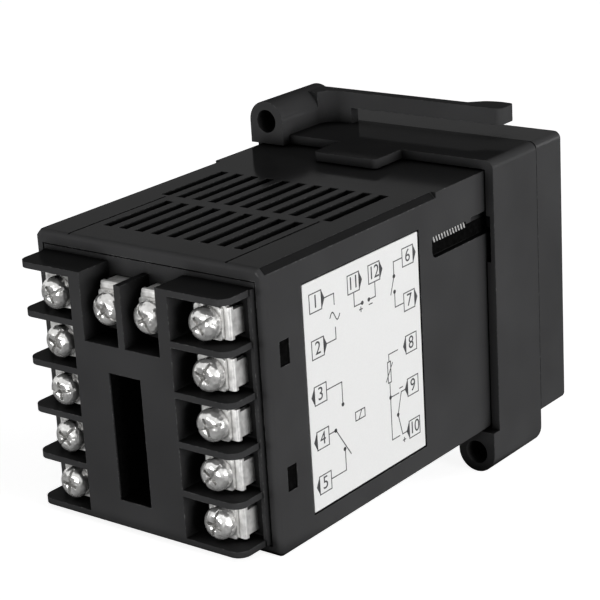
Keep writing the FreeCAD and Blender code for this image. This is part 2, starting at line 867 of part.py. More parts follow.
def make_terminal_block():
    """The moulded block in the rear of the case: shell, centre, barriers and pads."""
    half_width = bore_half - block_gap
    top = bore_top - block_gap
    bottom = bore_bottom + block_gap
    shell = block((-half_width, half_width), (block_front, block_rear), (bottom, top))
    hollow = block((-half_width + block_wall, half_width - block_wall),
                   (block_front - 1, block_rear - block_plate), (bottom + block_wall, top - block_wall))
    shell = shell.cut(hollow)
    last_fin = fin_top - (fin_count - 1) * fin_pitch - fin_thickness / 2
    centre = block((-centre_half_width, centre_half_width), (block_rear, face_plane),
                   (last_fin, cavity_floor))
    wall_top = fin_top + fin_thickness / 2
    wall = block((cavity_outer, centre_half_width), (block_rear, face_plane), (cavity_floor, wall_top))
    divider = block(around(0, cavity_divider), (block_rear, face_plane), (cavity_floor, divider_top))
    lip = block(around(fin_outer, lip_width), (block_rear, block_rear + lip_height), (last_fin, wall_top))
    pad = block((-pad_inner, pad_outer), (block_rear, pad_rear), (-pad_half_width, pad_half_width))
    pads = [at_terminal(pad, place) for place in terminal_places()]
    body = joined([shell, centre, wall, mirrored(wall), divider, lip, mirrored(lip)]
                  + fins() + latch_hooks() + pads)
    cuts = [block((-recess_half_width, recess_half_width), (face_plane - recess_depth, face_plane + 1),
                  (recess_bottom, recess_top))]
    shank = rod((0, block_front, 0), screw_radius + shank_gap, face_plane - block_front, ALONG_Y)
    tab_slot = block((plate_outer - plate_thickness - tab_gap, plate_outer + tab_gap),
                     (block_front - 1, block_rear + 1),
                     (-tab_half_width - tab_gap, tab_half_width + tab_gap))
    for place in terminal_places():
        cuts.append(at_terminal(shank, place))
        cuts.append(at_terminal(tab_slot, place))
    return body.cut(Part.makeCompound(cuts))


# Nodes

save("case", [make_case()])
save("mounting_frame", [make_mounting_frame()])
save("terminal_block", [make_terminal_block()])
save("front_panel", [make_front_panel()])
save("display_lens", [make_lens()])
save("rear_label", [label_box(label_thickness, 0)])
save("display_board", [make_display_board()])
save("power_board", [make_side_board(1)])
save("control_board", [make_side_board(-1)])
save("process_display", [display_module(0, pv_middle, pv_width, pv_height)])
save("setpoint_display", [display_module(sv_offset, sv_middle, sv_width, sv_height)])
save("status_leds", make_leds())
save("transformer_core", [make_core()])
save("transformer_coil", [make_coil()])
save("relay", [make_relay()])
save("capacitors", make_capacitors())
save("board_chips", make_chips())

key_names = ("set", "shift", "down", "up")
switches = []
for name, x in zip(key_names, key_places()):
    save("key_" + name, [make_key(x)])
    save("plunger_" + name, [make_plunger(x)])
    switches.append(make_switch(x))
save("tact_switches", switches)

plates = []
for number, place in enumerate(terminal_places(), start=1):
    label = "%02d" % number
    plates.append(at_terminal(plate_at_origin(), place))
    save("clamp_" + label, [at_terminal(clamp_at_origin(), place)])
    save("screw_" + label, [at_terminal(screw_at_origin(screw_turns[number - 1]), place)])
save("terminal_plates", plates)
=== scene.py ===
"""Finishes and fine detail for a panel-mounted temperature controller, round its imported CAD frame."""

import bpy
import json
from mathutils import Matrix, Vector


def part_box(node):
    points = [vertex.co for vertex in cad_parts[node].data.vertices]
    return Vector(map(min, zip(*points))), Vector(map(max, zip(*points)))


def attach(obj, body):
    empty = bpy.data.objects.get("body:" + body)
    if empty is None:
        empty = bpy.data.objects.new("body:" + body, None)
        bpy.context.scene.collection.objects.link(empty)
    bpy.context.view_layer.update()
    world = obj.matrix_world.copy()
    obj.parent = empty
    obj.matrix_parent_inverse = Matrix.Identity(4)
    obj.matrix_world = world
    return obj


bl_info = {
    "name": "Panel Controller Finishes",
    "version": (1, 0, 0),
    "blender": (4, 5, 0),
    "location": "View3D > Sidebar > Controller",
    "description": "Plastics, plated terminals, label print and studio stage for a panel controller",
    "category": "Object",
}

import json
import math

import bmesh
import bpy
from bpy.props import FloatProperty, FloatVectorProperty, PointerProperty
from bpy.types import Operator, Panel, PropertyGroup
from mathutils import Matrix, Vector

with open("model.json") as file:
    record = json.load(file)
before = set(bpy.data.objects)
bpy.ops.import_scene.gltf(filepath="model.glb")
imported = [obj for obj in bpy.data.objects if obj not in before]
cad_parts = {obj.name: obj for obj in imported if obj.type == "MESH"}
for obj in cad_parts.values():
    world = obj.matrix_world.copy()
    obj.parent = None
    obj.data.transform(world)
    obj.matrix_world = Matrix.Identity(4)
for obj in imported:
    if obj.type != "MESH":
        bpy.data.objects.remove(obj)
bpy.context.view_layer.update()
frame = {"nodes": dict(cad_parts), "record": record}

MM = 0.001
KEY_NAMES = ("set", "shift", "down", "up")
TERMINALS = ["%02d" % number for number in range(1, 13)]

# Turns a drawing (across, up, outward) to face someone who reads the label, the display or the terminals
READING = Matrix(((0, 0, -1), (-1, 0, 0), (0, 1, 0)))
DISPLAY_FACING = Matrix(((1, 0, 0), (0, 0, -1), (0, 1, 0)))
REAR_FACING = Matrix(((1, 0, 0), (0, 0, 1), (0, 1, 0)))


def node_slots():
    """The record's material slot of each node."""
    return {part["node"]: part["material_slot"] for part in frame["record"]["subparts"]}


# Properties

class FinishSettings(PropertyGroup):
    """Colours and surface of the moulded and plated parts."""
    case_color: FloatVectorProperty(
        name="Case", description="Moulded case", subtype="COLOR",
        size=3, min=0, max=1, default=(0.049, 0.049, 0.050))
    frame_color: FloatVectorProperty(
        name="Frame", description="Moulded mounting frame", subtype="COLOR",
        size=3, min=0, max=1, default=(0.051, 0.051, 0.052))
    block_color: FloatVectorProperty(
        name="Terminal block", description="Moulded terminal block", subtype="COLOR",
        size=3, min=0, max=1, default=(0.047, 0.047, 0.048))
    panel_color: FloatVectorProperty(
        name="Front panel", description="Moulded front panel", subtype="COLOR",
        size=3, min=0, max=1, default=(0.024, 0.024, 0.025))
    key_color: FloatVectorProperty(
        name="Keys", description="Moulded key caps", subtype="COLOR",
        size=3, min=0, max=1, default=(0.13, 0.135, 0.14))
    plate_color: FloatVectorProperty(
        name="Plating", description="Nickel on the terminals", subtype="COLOR",
        size=3, min=0, max=1, default=(0.84, 0.835, 0.82))
    board_color: FloatVectorProperty(
        name="Solder mask", description="Lacquer on the circuit boards", subtype="COLOR",
        size=3, min=0, max=1, default=(0.015, 0.10, 0.045))
    case_roughness: FloatProperty(
        name="Case roughness", description="How matt the moulded case is", subtype="FACTOR",
        min=0, max=1, default=0.12)
    case_gloss: FloatProperty(
        name="Case gloss", description="How much light the moulded case mirrors", subtype="FACTOR",
        min=0, max=1, default=0.11)
    frame_gloss: FloatProperty(
        name="Frame gloss", description="How much light the frame and block mirror", subtype="FACTOR",
        min=0, max=1, default=0.03)
    # paled edges: partly scuffs from handling, partly painted highlight
    scuff_and_highlight: FloatProperty(
        name="Edge scuffs", description="How far handling has paled the moulded edges", subtype="FACTOR",
        min=0, max=1, default=0.5)
    grain_size: FloatProperty(
        name="Grain", description="Size of the moulding's surface grain", unit="LENGTH",
        default=0.0004, min=0.00005)
    edge_radius: FloatProperty(
        name="Edge softness", description="Radius seen on the moulded edges", unit="LENGTH",
        default=0.00024, min=0)


class PrintSettings(PropertyGroup):
    """The label's line work."""
    ink_color: FloatVectorProperty(
        name="Ink", description="Printed lines and numbers", subtype="COLOR",
        size=3, min=0, max=1, default=(0.02, 0.02, 0.022))
    symbol_color: FloatVectorProperty(
        name="Symbols", description="Printed symbols under the keys", subtype="COLOR",
        size=3, min=0, max=1, default=(0.55, 0.55, 0.54))
    label_color: FloatVectorProperty(
        name="Label", description="Coated label stock", subtype="COLOR",
        size=3, min=0, max=1, default=(0.84, 0.84, 0.835))
    line_width: FloatProperty(
        name="Line", description="Width of the printed lines", unit="LENGTH", default=0.00017)
    box_size: FloatProperty(
        name="Number box", description="Side of the box round a terminal number", unit="LENGTH",
        default=0.0029)
    number_height: FloatProperty(
        name="Numbers", description="Size of the terminal numbers", unit="LENGTH", default=0.0029)
    ink_height: FloatProperty(
        name="Ink height", description="How far the ink stands off the label", unit="LENGTH",
        default=0.00002)


class StageSettings(PropertyGroup):
    """Camera, lamps and floor."""
    camera_place: FloatVectorProperty(
        name="Camera place", description="Where the camera stands", subtype="TRANSLATION",
        size=3, default=(-0.18880, 0.27145, 0.10636))
    camera_turn: FloatVectorProperty(
        name="Camera turn", description="Which way the camera looks", subtype="EULER", size=3,
        default=(math.radians(71.161), math.radians(3.306), math.radians(-142.565)))
    lens: FloatProperty(
        name="Lens", description="Focal length on a 36 mm sensor", unit="CAMERA", default=118.455)
    floor_color: FloatVectorProperty(
        name="Floor", description="Pale floor", subtype="COLOR",
        size=3, min=0, max=1, default=(0.80, 0.80, 0.80))
    floor_reach: FloatProperty(
        name="Floor reach", description="Half the floor's width", unit="LENGTH", default=2.0)
    key_power: FloatProperty(
        name="Key lamp", description="Large lamp beside the label", unit="POWER", default=4.75)
    fill_power: FloatProperty(
        name="Fill lamp", description="Lamp behind the terminals", unit="POWER", default=3.5)
    front_power: FloatProperty(
        name="Front lamp", description="Lamp before the display", unit="POWER", default=2.5)
    glint_power: FloatProperty(
        name="Glint lamp", description="Small lamp that catches the edges", unit="POWER", default=0.15)
    sky_level: FloatProperty(
        name="Sky", description="Even light from all round", min=0, default=0.09)


# Shader building

class Shader:
    """One procedural material and the nodes that it is made of."""

    def __init__(self, name):
        self.material = bpy.data.materials.new(name)
        self.material.use_nodes = True
        self.tree = self.material.node_tree
        self.tree.nodes.clear()
        self.output = self.add("ShaderNodeOutputMaterial")
        self.surface = self.add("ShaderNodeBsdfPrincipled")
        self.link(self.surface, "BSDF", self.output, "Surface")
        self.place = self.add("ShaderNodeTexCoord")

    def add(self, kind, **values):
        """A new node; each value goes to the node's property or its socket of that name."""
        node = self.tree.nodes.new(kind)
        for key, value in values.items():
            if hasattr(node, key):
                setattr(node, key, value)
            else:
                node.inputs[key].default_value = value
        return node

    def link(self, source, output, target, socket):
        """Join two nodes by the names of their sockets."""
        self.tree.links.new(source.outputs[output], target.inputs[socket])

    def set(self, **values):
        """Fixed values on the surface's own sockets."""
        for key, value in values.items():
            self.surface.inputs[key.replace("_", " ")].default_value = value

    def paint(self, socket):
        """Give the surface its colour."""
        self.tree.links.new(socket, self.surface.inputs["Base Color"])

    def noise(self, size, detail=3.0, roughness=0.55):
        """Cloudy noise whose patches are about as large as the size."""
        node = self.add("ShaderNodeTexNoise", Scale=1.0 / size, Detail=detail, Roughness=roughness)
        self.link(self.place, "Object", node, "Vector")
        return node

    def ramp(self, source, output, stops):
        """Colours between the given stops."""
        node = self.add("ShaderNodeValToRGB")
        elements = node.color_ramp.elements
        elements[0].position, elements[0].color = stops[0][0], (*stops[0][1], 1)
        elements[1].position, elements[1].color = stops[-1][0], (*stops[-1][1], 1)
        for position, color in stops[1:-1]:
            element = elements.new(position)
            element.color = (*color, 1)
        self.link(source, output, node, "Fac")
        return node

    def roughness(self, source, output, low, high):
        """Roughness that drifts between two values."""
        node = self.add("ShaderNodeMapRange")
        node.inputs["To Min"].default_value = low
        node.inputs["To Max"].default_value = high
        self.link(source, output, node, "Value")
        self.link(node, "Result", self.surface, "Roughness")

    def clouded(self, size, stops, rough, detail=3.0):
        """Colour and roughness that drift together with one noise, which is handed back."""
        cloud = self.noise(size, detail=detail)
        self.paint(self.ramp(cloud, "Fac", stops).outputs["Color"])
        self.roughness(cloud, "Fac", *rough)
        return cloud

    def bump(self, source, output, height, base=None):
        """Fine relief, on top of an earlier one where there is a base."""
        node = self.add("ShaderNodeBump", Strength=1.0, Distance=height)
        self.link(source, output, node, "Height")
        if base:
            self.link(base, "Normal", node, "Normal")
        self.link(node, "Normal", self.surface, "Normal")
        self.link(node, "Normal", self.surface, "Coat Normal")
        return node

    def soft_edges(self, radius):
        """Normals that round the edges off by a small radius."""
        return self.add("ShaderNodeBevel", samples=4, Radius=radius)

    def mask(self, source, output, low, high):
        """A value between 0 and 1 as the source goes from low to high."""
        node = self.add("ShaderNodeMapRange")
        node.inputs["From Min"].default_value = low
        node.inputs["From Max"].default_value = high
        self.link(source, output, node, "Value")
        return node

    def edge_mask(self, edges, turn, flat=0.998):
        """1 on the edges, where the softened normal turns from the face's own by more than a cosine."""
        face = self.add("ShaderNodeNewGeometry")
        bend = self.add("ShaderNodeVectorMath", operation="DOT_PRODUCT")
        self.tree.links.new(edges.outputs["Normal"], bend.inputs[0])
        self.tree.links.new(face.outputs["Normal"], bend.inputs[1])
        return self.mask(bend, "Value", flat, turn).outputs["Result"]

    def hollows(self, reach, start, full):
        """1 in the corners and hollows that are narrower than the reach: the mask for painted shade in
        them.
        """
        corner = self.add("ShaderNodeAmbientOcclusion", samples=8, Distance=reach)
        return self.mask(corner, "AO", start, full).outputs["Result"]

    def product(self, first, second):
        """Two sockets multiplied."""
        node = self.add("ShaderNodeMath", operation="MULTIPLY")
        self.tree.links.new(first, node.inputs[0])
        self.tree.links.new(second, node.inputs[1])
        return node.outputs[0]

    def blend_color(self, factor, low, high):
        """A mix of two colours; each is a colour or a socket."""
        node = self.add("ShaderNodeMix", data_type="RGBA")
        self.tree.links.new(factor, node.inputs[0])
        for value, socket in ((low, node.inputs[6]), (high, node.inputs[7])):
            if isinstance(value, bpy.types.NodeSocket):
                self.tree.links.new(value, socket)
            else:
                socket.default_value = (*value, 1)
        return node.outputs[2]


def shade(color, factor):
    """A lighter or darker version of a colour."""
    return tuple(min(1.0, channel * factor) for channel in color)


def moulded_plastic(name, color, roughness, grain, edge, gloss=1.0, scuff_and_highlight=0.0):
    """Injection-moulded plastic: flow shading, fine grain, a polished skin, pale edges of scuffs and
    painted highlight, and painted shade in its hollows.
    """
    shader = Shader(name)
    flow = shader.noise(grain * 40, detail=2.0)
    tint = shader.ramp(flow, "Fac", [(0.3, shade(color, 0.88)), (0.7, shade(color, 1.12))])
    edges = shader.soft_edges(edge)
    # pale edges, partly scuffs and partly painted highlight, in patches along the softened edges
    rub_and_highlight = shader.mask(shader.noise(grain * 2.5, detail=5.0, roughness=0.7), "Fac", 0.5, 0.72)
    wear_and_highlight = shader.product(shader.edge_mask(edges, 0.9), rub_and_highlight.outputs["Result"])
    pale = tuple(channel + 0.4 * scuff_and_highlight for channel in color)
    skin = shader.blend_color(wear_and_highlight, tint.outputs["Color"], pale)
    # painted shade: in hollows narrower than 4 mm the colour darkens to 15 % of itself
    hollow_shade = shader.hollows(4 * MM, 0.88, 0.4)
    shader.paint(shader.blend_color(hollow_shade, skin, shade(color, 0.15)))
    shader.roughness(flow, "Fac", roughness + 0.2, roughness + 0.3)
    fine = shader.noise(grain, detail=4.0)
    shader.bump(fine, "Fac", grain * 0.006, base=edges)
    shader.set(Specular_IOR_Level=0.0, Coat_Weight=gloss, Coat_Roughness=roughness, Coat_IOR=1.5)
    return shader.material


def plated_metal(name, color, roughness, dent_depth, metallic):
    """Barrel-plated nickel: shallow dents, fine scratches, clouding and painted shade in its corners."""
    shader = Shader(name)
    cloud = shader.noise(0.9 * MM, detail=4.0)
    tint = shader.ramp(cloud, "Fac", [(0.3, shade(color, 0.78)), (0.6, color)])
    # painted shade: in corners narrower than 0.4 mm the nickel darkens to 35 % of its colour
    corner_shade = shader.hollows(0.4 * MM, 0.8, 0.3)
    shader.paint(shader.blend_color(corner_shade, tint.outputs["Color"], shade(color, 0.35)))
    shader.roughness(cloud, "Fac", roughness * 0.7, roughness * 1.5)
    edges = shader.soft_edges(0.1 * MM)
    dents = shader.bump(shader.noise(1.1 * MM, detail=1.5), "Fac", dent_depth, base=edges)
    shader.bump(shader.noise(0.2 * MM, detail=5.0), "Fac", 0.006 * MM, base=dents)
    shader.set(Metallic=metallic)
    return shader.material


def dress(node, material):
    """Give one CAD node its finish."""
    part = frame["nodes"][node]
    if not part.material_slots:
        part.data.materials.append(material)
    for slot in part.material_slots:
        slot.material = material


def dress_slot(slot, material):
    """Give the finish to every node of one record slot."""
    members = [node for node, name in node_slots().items() if name == slot]
    if not members:
        raise RuntimeError("no node has the slot " + slot)
    for node in members:
        dress(node, material)


def new_piece(name, mesh, material, body):
    """A new mesh object that rides on a body."""
    piece = bpy.data.objects.new(name, mesh)
    bpy.context.scene.collection.objects.link(piece)
    piece.data.materials.append(material)
    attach(piece, body)
    return piece


# Operators: finishes

class CONTROLLER_OT_mouldings(Operator):
    """Dress the case, mounting frame, terminal block, front panel and keys"""
    bl_idname = "controller.mouldings"
    bl_label = "Mouldings"

    def execute(self, context):
        finish = context.scene.controller_finish
        grain = finish.grain_size
        edge = finish.edge_radius
        rough = finish.case_roughness
        gloss = finish.case_gloss
        dull = finish.frame_gloss
        scuff_and_highlight = finish.scuff_and_highlight
        # slot, colour, roughness, gloss, pale edges of scuffs and painted highlight
        finishes = (
            ("black_plastic", finish.case_color, rough, gloss, scuff_and_highlight),
            ("frame_plastic", finish.frame_color, rough - 0.04, dull, scuff_and_highlight * 0.5),
            ("block_plastic", finish.block_color, rough + 0.04, dull, scuff_and_highlight * 0.8),
            ("panel_plastic", finish.panel_color, rough + 0.25, gloss, 0.0),
            ("key_plastic", finish.key_color, rough + 0.25, gloss, 0.0),
        )
        for slot, color, matt, shine, scuffs_and_highlights in finishes:
            dress_slot(slot, moulded_plastic(slot, color, matt, grain, edge, shine, scuffs_and_highlights))
        return {"FINISHED"}


class CONTROLLER_OT_terminals(Operator):
    """Dress the contact plates, clamps and screws"""
    bl_idname = "controller.terminals"
    bl_label = "Terminals"

    def execute(self, context):
        color = context.scene.controller_finish.plate_color
        # slot, material, roughness, depth of the dents in millimetres, how metallic
        platings = (
            ("nickel_plate", "plate_nickel", 0.42, 0.06, 0.6),
            ("nickel_clamp", "clamp_nickel", 0.32, 0.10, 0.85),
            ("nickel_screw", "screw_nickel", 0.20, 0.25, 0.72),
        )
        for slot, name, rough, dents, metallic in platings:
            dress_slot(slot, plated_metal(name, color, rough, dents * MM, metallic))
        return {"FINISHED"}


def circuit_board_lacquer(color):
    """Solder mask over branching copper tracks."""
    shader = Shader("board_lacquer")
    tracks = shader.add("ShaderNodeTexBrick", Scale=260.0)
    tracks.inputs["Mortar Size"].default_value = 0.03
    shader.link(shader.place, "Object", tracks, "Vector")
    tracks.inputs["Color1"].default_value = (*color, 1)
    tracks.inputs["Color2"].default_value = (*shade(color, 1.3), 1)
    tracks.inputs["Mortar"].default_value = (*shade(color, 2.2), 1)
    shader.paint(tracks.outputs["Color"])
    weave = shader.noise(0.3 * MM, detail=2.0)
    shader.roughness(weave, "Fac", 0.25, 0.4)
    shader.bump(tracks, "Fac", 0.02 * MM)
    return shader.material


def wrapped_tape():
    """Yellow winding tape in overlapping turns."""
    shader = Shader("winding_tape")
    turns = shader.add("ShaderNodeTexWave", Scale=420.0, Distortion=0.6, bands_direction="Z")
    shader.link(shader.place, "Object", turns, "Vector")
    tint = shader.ramp(turns, "Fac", [(0.1, (0.40, 0.25, 0.02)), (0.6, (0.62, 0.42, 0.05))])
    shader.paint(tint.outputs["Color"])
    shader.roughness(turns, "Fac", 0.3, 0.45)
    shader.bump(turns, "Fac", 0.04 * MM)
    return shader.material


class CONTROLLER_OT_electronics(Operator):
    """Dress the circuit boards and the components on them"""
    bl_idname = "controller.electronics"
    bl_label = "Electronics"

    def execute(self, context):
        finish = context.scene.controller_finish
        grain = finish.grain_size
        edge = finish.edge_radius
        dress_slot("circuit_board", circuit_board_lacquer(finish.board_color))
        dress_slot("winding_tape", wrapped_tape())
        resins = {
            "display_plastic": ((0.09, 0.09, 0.095), 0.4),
            "led_plastic": ((0.55, 0.5, 0.42), 0.25),
            "switch_plastic": ((0.015, 0.015, 0.016), 0.45),
            "plunger_plastic": ((0.10, 0.055, 0.03), 0.35),
            "ferrite": ((0.035, 0.034, 0.036), 0.7),
            "relay_plastic": ((0.02, 0.09, 0.26), 0.3),
            "capacitor_sleeve": ((0.012, 0.014, 0.03), 0.28),
            "chip_resin": ((0.02, 0.02, 0.02), 0.6),
        }
        for slot, (color, rough) in resins.items():
            dress_slot(slot, moulded_plastic(slot, color, rough, grain, edge))
        return {"FINISHED"}


def smoked_acrylic():
    """A dark red-brown clear window with very fine polishing marks."""
    shader = Shader("smoked_window")
    tints = [(0.3, (0.10, 0.028, 0.02)), (0.7, (0.12, 0.034, 0.026))]
    haze = shader.clouded(0.6 * MM, tints, (0.03, 0.08), detail=4.0)
    shader.bump(haze, "Fac", 0.001 * MM)
    shader.set(Transmission_Weight=0.85, IOR=1.49)
    return shader.material


def unlit_segment(name, color):
    """Milky epoxy of a display segment that isn't lit."""
    shader = Shader(name)
    shader.clouded(0.5 * MM, [(0.3, shade(color, 0.85)), (0.7, color)], (0.3, 0.5))
    return shader.material


def add_prism(mesh, corners, near, far, to_world):
    """Add a flat outline with thickness; corners are in the drawing's own plane."""
    front = [mesh.verts.new(to_world @ Vector((x, y, far))) for x, y in corners]
    back = [mesh.verts.new(to_world @ Vector((x, y, near))) for x, y in corners]
    mesh.faces.new(front)
    mesh.faces.new(list(reversed(back)))
    count = len(corners)
    for index in range(count):
        after = (index + 1) % count
        mesh.faces.new([front[after], front[index], back[index], back[after]])


def circle(x, y, radius, steps):
    """Points round a circle, for an outline."""
    turns = [step * math.tau / steps for step in range(steps)]
    return [(x + radius * math.cos(turn), y + radius * math.sin(turn)) for turn in turns]


def finished_mesh(name, mesh):
    """Turn the working mesh into mesh data with outward normals."""
    bmesh.ops.recalc_face_normals(mesh, faces=mesh.faces)
    data = bpy.data.meshes.new(name)
    mesh.to_mesh(data)
    mesh.free()
    return data


def segment_outlines(width, height, stroke):
    """Seven hexagonal strokes of one digit about its own middle."""
    half_w = width / 2 - stroke / 2
    half_h = height / 2 - stroke / 2
    gap = stroke * 0.12
    point = stroke / 2

    def level_bar(y):
        left, right = -half_w + gap, half_w - gap
        return [(left, y), (left + point, y - point), (right - point, y - point),
                (right, y), (right - point, y + point), (left + point, y + point)]

    def upright_bar(x, low, high):
        low, high = low + gap, high - gap
        return [(x, low), (x + point, low + point), (x + point, high - point),
                (x, high), (x - point, high - point), (x - point, low + point)]

    bars = [level_bar(y) for y in (-half_h, 0, half_h)]
    for x in (-half_w, half_w):
        bars.append(upright_bar(x, -half_h, 0))
        bars.append(upright_bar(x, 0, half_h))
    return bars


# Sizes of the displays' digits, as shares of their own pitch, height and stroke
DIGIT_COUNT = 4
DIGIT_WIDTH = 0.62
DIGIT_HEIGHT = 0.78
DIGIT_STROKE = 0.13
DIGIT_LEAN = math.radians(8)
POINT_OFFSET = 0.41
# How far the segments and the printed symbols reach into and out of the face that carries them
SEGMENT_SINK = 0.05 * MM
SEGMENT_RISE = 0.08 * MM
SYMBOL_SKIN = 0.02 * MM


def digit_mesh(low, high):
    """The segments and decimal points of one display, on its front face."""
    pitch = (high.x - low.x) / DIGIT_COUNT
    width = pitch * DIGIT_WIDTH
    height = (high.z - low.z) * DIGIT_HEIGHT
    stroke = height * DIGIT_STROKE
    leaning = DISPLAY_FACING @ Matrix(((1, math.tan(DIGIT_LEAN), 0), (0, 1, 0), (0, 0, 1)))
    mesh = bmesh.new()
    for index in range(DIGIT_COUNT):
        middle = Vector((low.x + (index + 0.5) * pitch, low.y, (low.z + high.z) / 2))
        to_world = Matrix.Translation(middle) @ leaning.to_4x4()
        outlines = segment_outlines(width, height, stroke)
        outlines.append(circle(pitch * POINT_OFFSET, -height / 2 + stroke / 2, stroke / 2, 16))
        for outline in outlines:
            add_prism(mesh, outline, -SEGMENT_SINK, SEGMENT_RISE, to_world)
    return mesh


class CONTROLLER_OT_display(Operator):
    """Dress the window and put the digit segments on both displays"""
    bl_idname = "controller.display"
    bl_label = "Display"

    def execute(self, context):
        dress_slot("smoked_window", smoked_acrylic())
        rows = (("process_display", (0.42, 0.20, 0.17)), ("setpoint_display", (0.20, 0.34, 0.18)))
        for node, color in rows:
            name = node.replace("display", "digits")
            mesh = finished_mesh(name, digit_mesh(*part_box(node)))
            new_piece(name, mesh, unlit_segment(name, color), "housing")
        return {"FINISHED"}


# Recesses in the case

# Latch windows, forward of the case's rear rim and up from its middle
WINDOW_START = 2.75 * MM
WINDOW_END = 4.85 * MM
WINDOW_LEVELS = (8.7 * MM, -10.7 * MM)
WINDOW_HALF_HEIGHT = 1.9 * MM
HOOK_SHY = 0.3 * MM          # the hooks' faces lie this far inside the case's side

# Ratchet slot, behind the panel plane and up from the middle
SLOT_REAR = 28.6 * MM
SLOT_FRONT = 8.2 * MM
SLOT_BOTTOM = 11.8 * MM
SLOT_TOP = 14.2 * MM
SLOT_CORNER = 1.1 * MM
SLOT_DEPTH = 1.1 * MM

# Rack in the slot: its rear end forward of the case's rear rim, and its teeth
RACK_START = 42.15 * MM
TOOTH_COUNT = 12
TOOTH_PITCH = 0.78 * MM
TOOTH_LEVEL = 14.75 * MM
TOOTH_HALF_HEIGHT = 0.48 * MM
TOOTH_RADIUS = 0.3 * MM
TOOTH_SINK = 0.08 * MM       # the noses lie this far inside the case's side
TOOTH_LEAN = math.radians(20)
TOOTH_SPREAD = math.radians(34)

# Chamfers on the case's top edges, forward of its rear rim
CHAMFER = 1.0 * MM
CHAMFER_END = 43.0 * MM
CHAMFER_START = 0.6 * MM
CHAMFER_INSET = 0.08 * MM
CHAMFER_TONE = 0.35          # the strips' painted shade, as a share of the case's colour

# Thickness of the shades, and how far either side of the surface a shell or a strip reaches
SHADE_SKIN = 0.05 * MM
SHELL_SKIN = 0.02 * MM
MOUTH_MARGIN = 0.3 * MM      # the centre recess's painted shade stops this far inside its mouth
CORNER_STEPS = 8


def side_frame(side, turned):
    """Maps (along the case, up, outward) to the -X or +X side; the turned one is upside down."""
    up = -1 if turned else 1
    return Matrix(((0, 0, side), (1, 0, 0), (0, up, 0))).to_4x4()


def deep_shade():
    """The unlit inside of an opening in black plastic."""
    shader = Shader("deep_shade")
    shader.clouded(0.6 * MM, [(0.4, (0.003, 0.003, 0.003)), (0.8, (0.007, 0.007, 0.007))], (0.5, 0.7))
    shader.set(Specular_IOR_Level=0.0)
    return shader.material


def rubbed_plastic():
    """Pale smooth plastic that paints the glints on the round noses of the rack's teeth."""
    shader = Shader("rubbed_plastic")
    shader.clouded(0.4 * MM, [(0.35, (0.24, 0.24, 0.24)), (0.65, (0.60, 0.60, 0.59))], (0.2, 0.35))
    return shader.material


def rectangle(low, high):
    """The corners of an upright rectangle, for an outline."""
    return [(low[0], low[1]), (high[0], low[1]), (high[0], high[1]), (low[0], high[1])]


def shade_windows(mesh, hook_face, rim, to_world):
    """A dark skin of painted shade on the latch hook's face in each window of one side."""
    for level in WINDOW_LEVELS:
        low = (rim - WINDOW_END, level - WINDOW_HALF_HEIGHT)
        high = (rim - WINDOW_START, level + WINDOW_HALF_HEIGHT)
        add_prism(mesh, rectangle(low, high), hook_face, hook_face + SHADE_SKIN, to_world)


def slot_outline():
    """The slot's floor from its rounded rear end to the frame, up to the rack's teeth."""
    turns = [step * math.pi / 2 / CORNER_STEPS for step in range(CORNER_STEPS + 1)]
    corner = [(SLOT_REAR - SLOT_CORNER + SLOT_CORNER * math.sin(turn),
               SLOT_BOTTOM + SLOT_CORNER - SLOT_CORNER * math.cos(turn)) for turn in turns]
    return [(SLOT_FRONT, SLOT_BOTTOM), *corner, (SLOT_REAR, SLOT_TOP), (SLOT_FRONT, SLOT_TOP)]


def tooth_section(along, up):
    """One level of the thin shell over a tooth's nose: out round the nose and back inside it."""
    points = []
    for reach, order in ((TOOTH_RADIUS + SHELL_SKIN, 1), (TOOTH_RADIUS - SHELL_SKIN, -1)):
        for step in range(CORNER_STEPS + 1):
            turn = order * TOOTH_SPREAD * (2 * step / CORNER_STEPS - 1)
            points.append((along + reach * math.sin(turn), up, reach * math.cos(turn)))
    return points


def tooth_nose(mesh, along, to_world):
    """A thin shell over the round nose of one leaning tooth."""
    rings = []
    for rise in (-TOOTH_HALF_HEIGHT, TOOTH_HALF_HEIGHT):
        points = tooth_section(along + rise * math.tan(TOOTH_LEAN), TOOTH_LEVEL + rise)
        rings.append([mesh.verts.new(to_world @ Vector(point)) for point in points])
    low, high = rings
    count = len(low)
    for index in range(count):
        after = (index + 1) % count
        mesh.faces.new([low[index], low[after], high[after], high[index]])
    mesh.faces.new(list(reversed(low)))
    mesh.faces.new(high)


def cover_teeth(mesh, case_half, rim, to_world):
    """Pale shells of painted highlight over all the teeth of one rack."""
    seat = to_world @ Matrix.Translation((0, 0, case_half - TOOTH_SINK - TOOTH_RADIUS))
    for index in range(TOOTH_COUNT):
        tooth_nose(mesh, rim - RACK_START - (index + 0.5) * TOOTH_PITCH, seat)


def shade_centre_recess(mesh):
    """Dark skins of painted shade on the side walls of the block's centre recess, up to just inside its
    mouth.
    """
    openings = frame["record"]["physics"]["openings"]
    box = next(opening["box_m"] for opening in openings if opening["name"] == "centre_recess")
    low, high = (Vector(corner) for corner in box)
    left = low.x + SHADE_SKIN
    right = high.x - SHADE_SKIN
    walls = (
        ((low.x, low.z), (left, high.z)),
        ((right, low.z), (high.x, high.z)),
        ((left, low.z), (right, low.z + SHADE_SKIN)),
        ((left, high.z - SHADE_SKIN), (right, high.z)),
    )
    for wall in walls:
        add_prism(mesh, rectangle(*wall), low.y, high.y - MOUTH_MARGIN, REAR_FACING.to_4x4())


